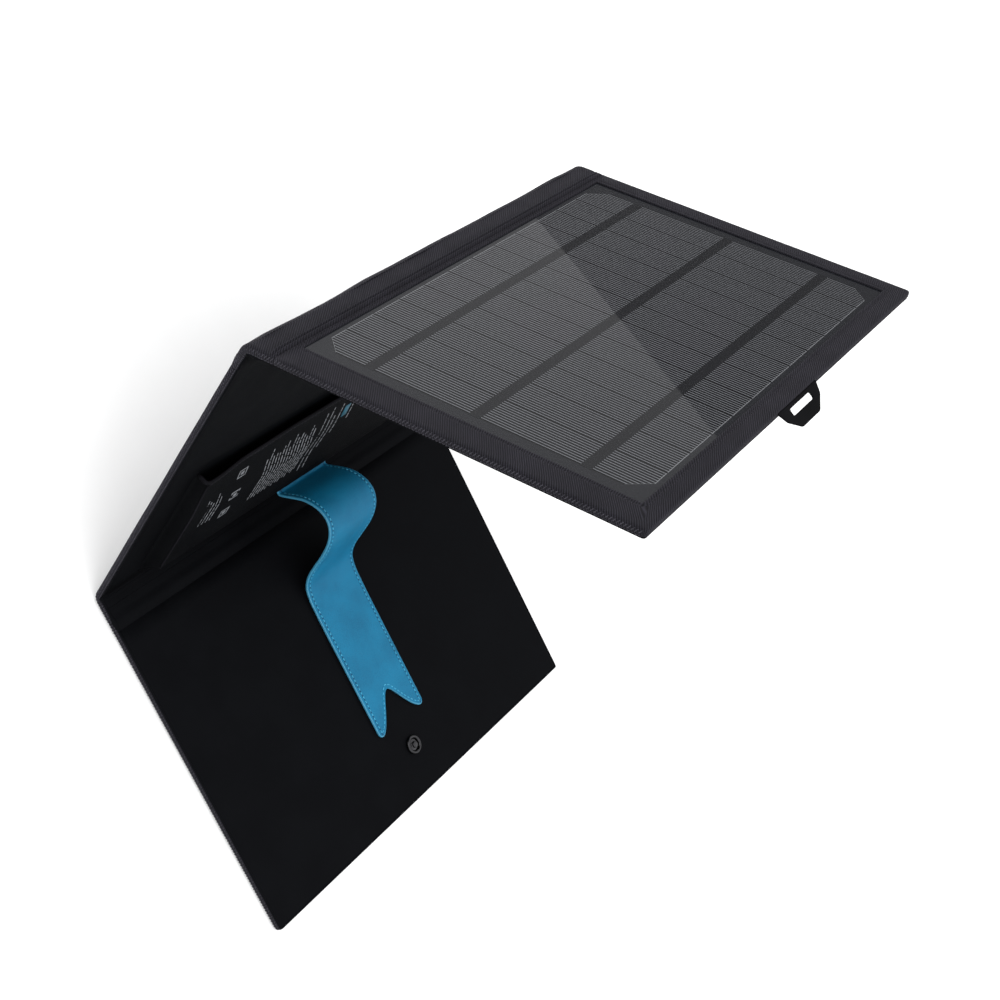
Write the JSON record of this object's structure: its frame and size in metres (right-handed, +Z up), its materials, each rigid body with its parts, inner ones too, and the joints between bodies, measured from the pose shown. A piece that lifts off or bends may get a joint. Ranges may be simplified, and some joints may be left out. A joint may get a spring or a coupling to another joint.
{
  "type": "folding solar panel",
  "caption": "Trifold portable solar charger: fabric-covered leaves with cell laminates, fabric spines, a back pocket for the regulator, a leather strap, a snap and a hanging loop.",
  "frame": {"origin": "centre of the footprint, on the floor that the lower leaf lies on", "axes": "+Y along the folds, +X from the folds towards the free edge of the lower leaf, +Z up"},
  "size_m": [0.2764, 0.275, 0.3241],
  "materials": {
    "cover_fabric": "coarse woven, matte",
    "lining_fabric": "smooth, matte",
    "binding_fabric": "twill tape, matte",
    "clear_sheet": "clear PET film, glossy",
    "solar_cell": "dark grey silicon under film",
    "ribbon": "dark tape",
    "board": "fibre board",
    "black_plastic": "fine texture",
    "gunmetal": "dark plated",
    "circuit_board": "solder mask",
    "lens": "translucent",
    "blue_leather": "edge-stitched, fine grain",
    "copper": "flat foil"
  },
  "bodies": {
    "middle": {"middle_front_cover": "cover_fabric", "middle_front_sheet": "clear_sheet", "middle_ribbon_inner": "ribbon", "middle_ribbon_centre": "ribbon", "middle_ribbon_outer": "ribbon", "middle_cells": "solar_cell", "middle_backsheet": "board", "middle_stiffener": "black_plastic", "middle_back_cover": "lining_fabric", "middle_binding_near": "binding_fabric", "middle_binding_far": "binding_fabric", "pocket_panel": "lining_fabric", "pocket_gusset": "lining_fabric", "pocket_binding": "binding_fabric", "regulator_base": "black_plastic", "regulator_lid": "black_plastic", "regulator_board": "circuit_board", "usb_port_near": "gunmetal", "usb_port_far": "gunmetal", "status_lens": "lens", "regulator_screw_1": "gunmetal", "regulator_screw_2": "gunmetal", "regulator_screw_3": "gunmetal", "regulator_screw_4": "gunmetal", "strap_anchor": "blue_leather"},
    "upper_spine": {"upper_spine": "cover_fabric", "upper_link": "copper"},
    "upper": {"upper_front_cover": "cover_fabric", "upper_front_sheet": "clear_sheet", "upper_ribbon_inner": "ribbon", "upper_ribbon_centre": "ribbon", "upper_ribbon_outer": "ribbon", "upper_cells": "solar_cell", "upper_backsheet": "board", "upper_stiffener": "black_plastic", "upper_back_cover": "lining_fabric", "upper_binding": "binding_fabric"},
    "lower_spine": {"lower_spine": "cover_fabric", "lower_link": "copper"},
    "lower": {"lower_front_cover": "cover_fabric", "lower_front_sheet": "clear_sheet", "lower_ribbon_inner": "ribbon", "lower_ribbon_centre": "ribbon", "lower_ribbon_outer": "ribbon", "lower_cells": "solar_cell", "lower_backsheet": "board", "lower_stiffener": "black_plastic", "lower_back_cover": "lining_fabric", "lower_binding": "binding_fabric", "snap_ring": "gunmetal", "snap_stud": "gunmetal"},
    "strap": {"strap": "blue_leather"},
    "loop_tab": {"loop_tab": "binding_fabric"}
  },
  "joints": [
    {"name": "upper_fold", "type": "hinge", "parent": "middle", "child": "upper_spine", "pos_m": [-0.13831, 0, 0.17577], "axis": [0, -1, 0], "range_deg": [-10, 110]},
    {"name": "upper_fold_outer", "type": "hinge", "parent": "upper_spine", "child": "upper", "pos_m": [-0.13445, 0, 0.18037], "axis": [0, -1, 0], "range_deg": [-12.5, 135.1]},
    {"name": "lower_fold", "type": "hinge", "parent": "middle", "child": "lower_spine", "pos_m": [-0.05653, 0, 0.0004], "axis": [0, 1, 0], "range_deg": [0, 125]},
    {"name": "lower_fold_outer", "type": "hinge", "parent": "lower_spine", "child": "lower", "pos_m": [-0.04053, 0, 0.0004], "axis": [0, 1, 0], "range_deg": [0, 120.1]},
    {"name": "strap_lift", "type": "hinge", "parent": "middle", "child": "strap", "pos_m": [-0.05206, 0, 0.02345], "axis": [0, -1, 0], "range_deg": [0, 40]},
    {"name": "loop_tab_swing", "type": "hinge", "parent": "upper", "child": "loop_tab", "pos_m": [-0.01377, 0, 0.32139], "axis": [0, -1, 0], "range_deg": [0, 55]}
  ],
  "couplings": [
    {"joint": "upper_fold_outer", "follows": "upper_fold", "ratio": 1.2273},
    {"joint": "lower_fold_outer", "follows": "lower_fold", "ratio": 0.96}
  ]
}
